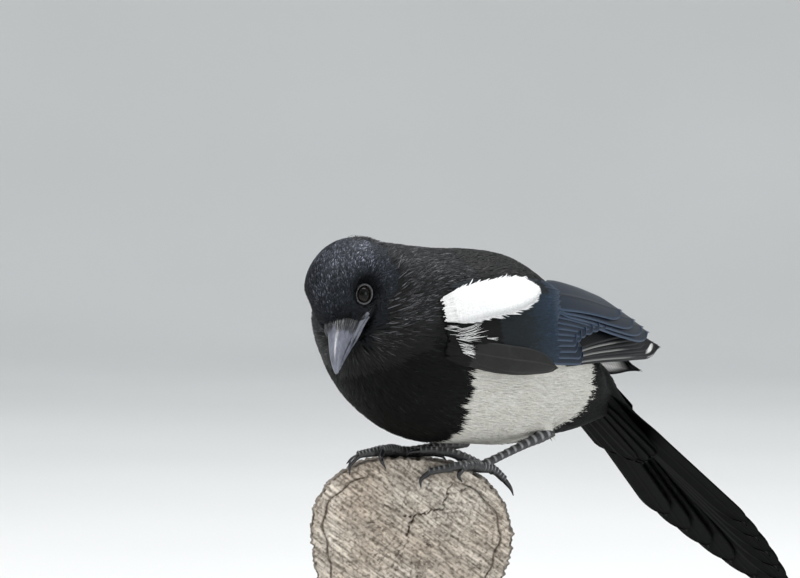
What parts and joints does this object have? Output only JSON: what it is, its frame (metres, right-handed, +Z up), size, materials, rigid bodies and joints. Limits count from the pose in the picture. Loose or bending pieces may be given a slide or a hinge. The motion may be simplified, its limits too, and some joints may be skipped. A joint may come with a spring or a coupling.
{
  "type": "eurasian magpie model",
  "caption": "Life-size still Eurasian magpie gripping the sawn end of a short log, held by rods on a flat display base.",
  "frame": {"origin": "centre of the underside of the stand's base, on the surface it rests on", "axes": "+Z up, -Y toward the viewer of the picture along the log's axis, +X to that viewer's right"},
  "size_m": [0.3043, 0.3164, 0.2506],
  "materials": {
    "stand_base": "dark stained wood, satin",
    "stand_rod": "brushed steel",
    "log": "weathered sawn wood with cracks and grey bark",
    "belly_feathers": "soft off-white feathers",
    "black_feathers": "deep black feathers with a faint steel sheen",
    "wing_feathers": "glossy blue-black vanes with a white shoulder patch",
    "tail_feathers": "black vanes with a green and bronze sheen",
    "bill": "slate black horn, satin",
    "eye": "dark wet eye",
    "leg_scales": "black scaled skin"
  },
  "bodies": {
    "root": {"stand_base": "stand_base", "stand_rod_1": "stand_rod", "stand_rod_2": "stand_rod", "perch_log": "log", "torso": "belly_feathers", "neck": "black_feathers", "head": "black_feathers", "bill_upper": "bill", "bill_lower": "bill", "eye_left": "eye", "eye_right": "eye", "tail": "tail_feathers", "wing_left": "wing_feathers", "wing_right": "wing_feathers", "thigh_left": "black_feathers", "thigh_right": "black_feathers", "shank_left": "leg_scales", "shank_right": "leg_scales", "foot_left": "leg_scales", "foot_right": "leg_scales"}
  },
  "joints": []
}
